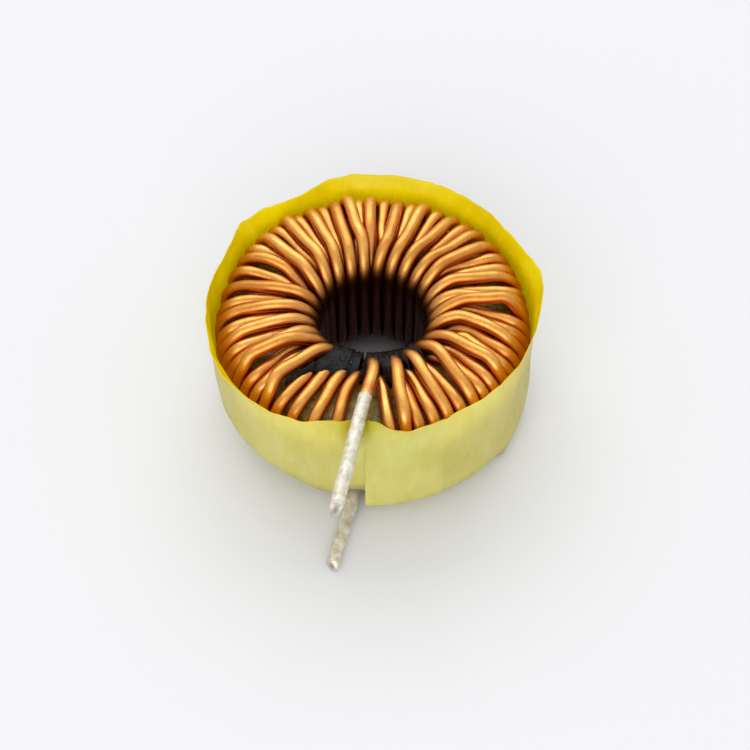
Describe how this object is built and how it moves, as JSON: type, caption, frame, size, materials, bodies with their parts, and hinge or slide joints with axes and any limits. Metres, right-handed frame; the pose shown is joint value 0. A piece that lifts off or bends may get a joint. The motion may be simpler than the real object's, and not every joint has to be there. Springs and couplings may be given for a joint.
{
  "type": "toroidal inductor",
  "caption": "Toroidal power inductor: enamelled copper wire wound on a ring core, wrapped in yellow film, with two tinned leads.",
  "frame": {"origin": "on the axis of the ring, at the lowest point of the winding", "axes": "+Z along the axis of the ring, up; -Y towards the front, where both leads come out; +X to the right seen from the front"},
  "size_m": [0.0309, 0.0387, 0.0146],
  "materials": {
    "core_coat": "mottled khaki coat on pressed powder, half matt",
    "enamelled_copper": "enamelled copper, glossy, tinned at both free ends",
    "yellow_film": "thin translucent yellow polyester film, glossy, creased",
    "black_glue": "hardened black filler, glossy"
  },
  "bodies": {
    "root": {"core": "core_coat", "winding": "enamelled_copper", "outer_tape": "yellow_film", "black_glue": "black_glue"}
  },
  "joints": []
}
